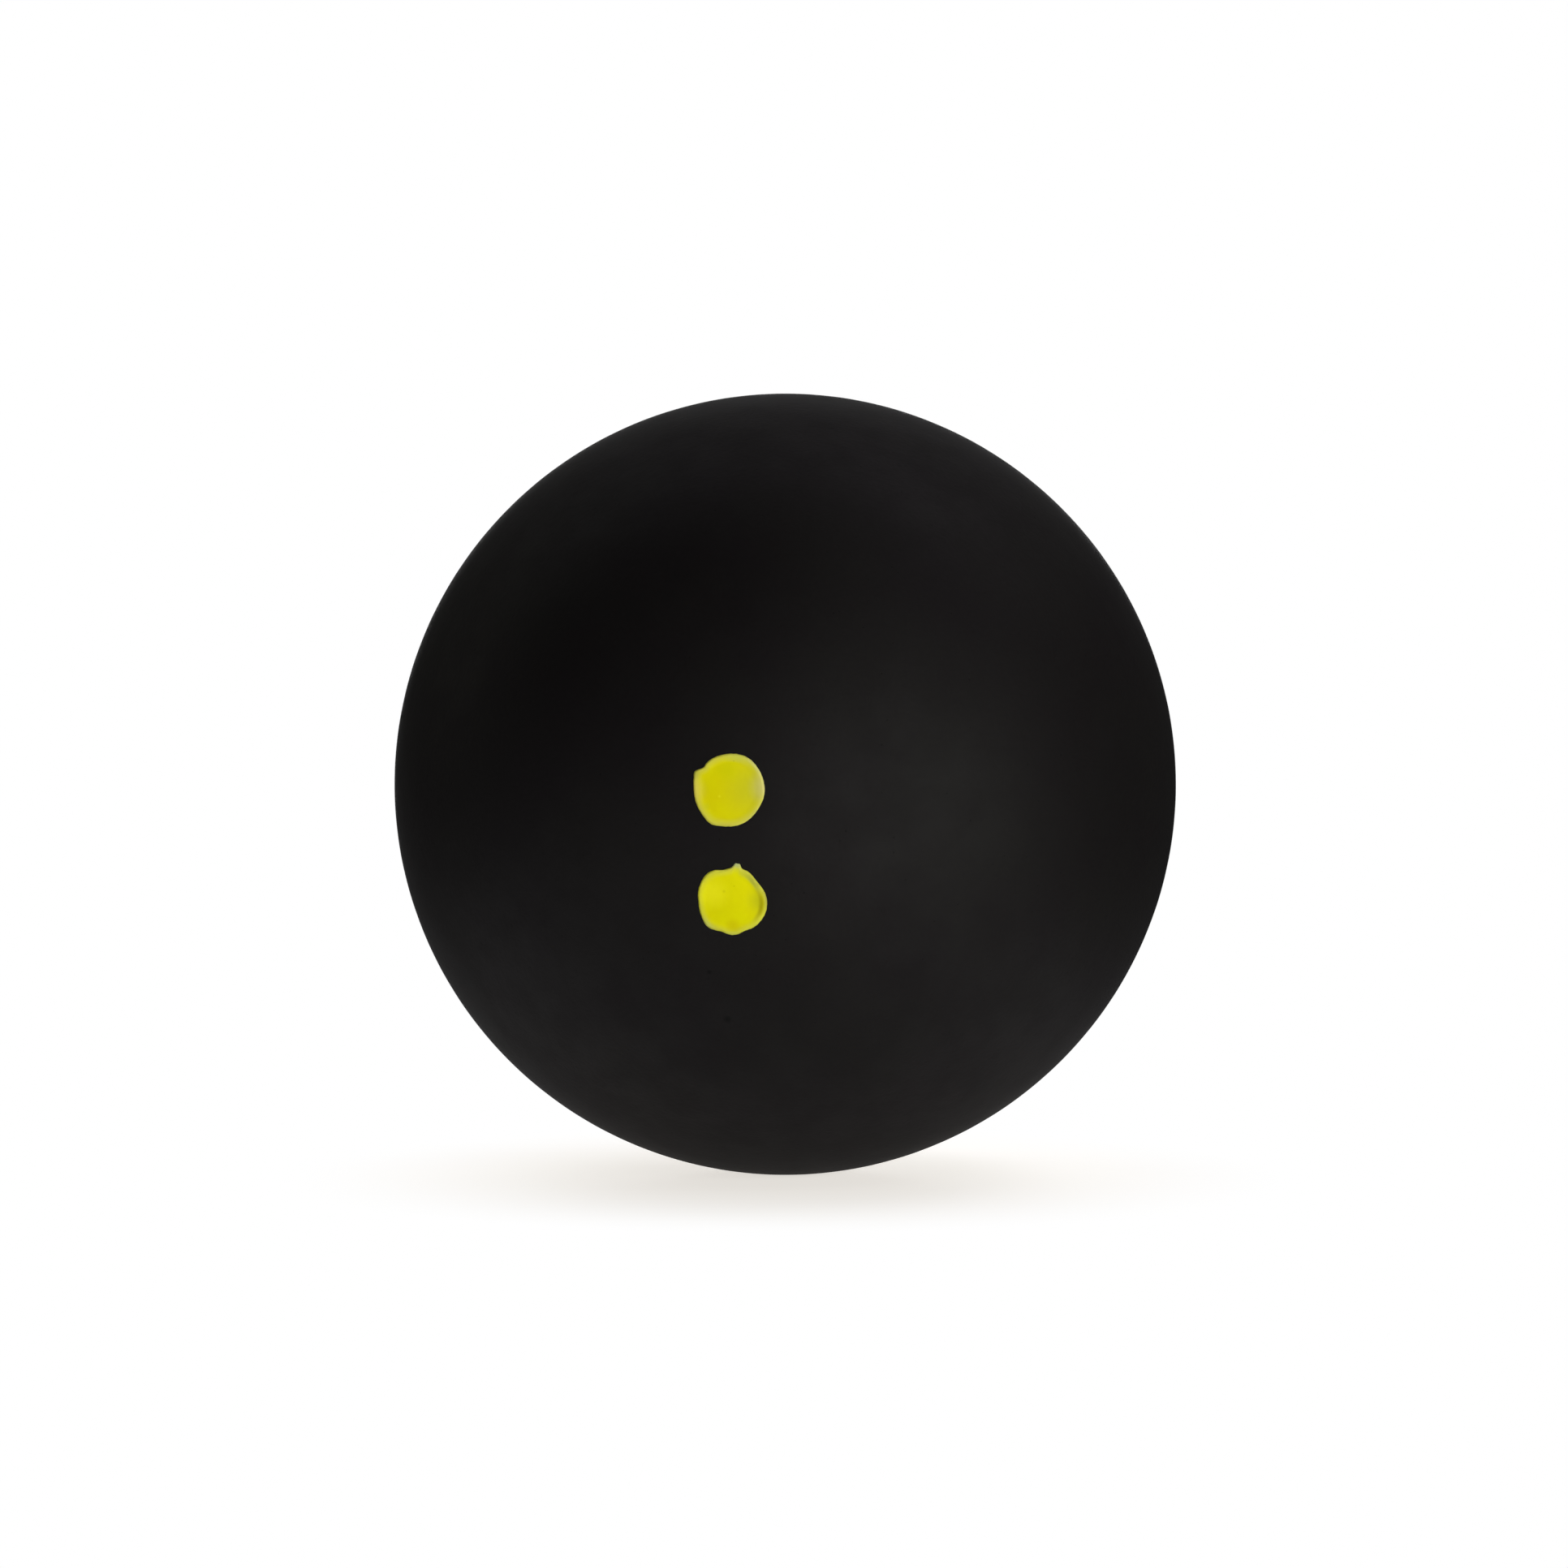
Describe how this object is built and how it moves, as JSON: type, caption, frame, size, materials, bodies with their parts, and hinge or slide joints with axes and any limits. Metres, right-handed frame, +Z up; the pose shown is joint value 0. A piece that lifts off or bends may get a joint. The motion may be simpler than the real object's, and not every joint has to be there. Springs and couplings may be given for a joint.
{
  "type": "squash ball",
  "caption": "Hollow black rubber squash ball: bonded half shells round a sealed pocket of air, with yellow speed dots printed on the front.",
  "frame": {"origin": "the ball's centre, on the seam's middle plane", "axes": "+Z up, the printed dots face -Y, and the seam's own axis runs along Y through the middles of both half shells"},
  "size_m": [0.04, 0.0401, 0.04],
  "materials": {
    "shell_rubber": "matte",
    "rubber_solution": "satin",
    "dot_ink": "satin"
  },
  "bodies": {
    "root": {"front_half_shell": "shell_rubber", "rear_half_shell": "shell_rubber", "seam_adhesive": "rubber_solution", "upper_dot": "dot_ink", "lower_dot": "dot_ink"}
  },
  "joints": []
}
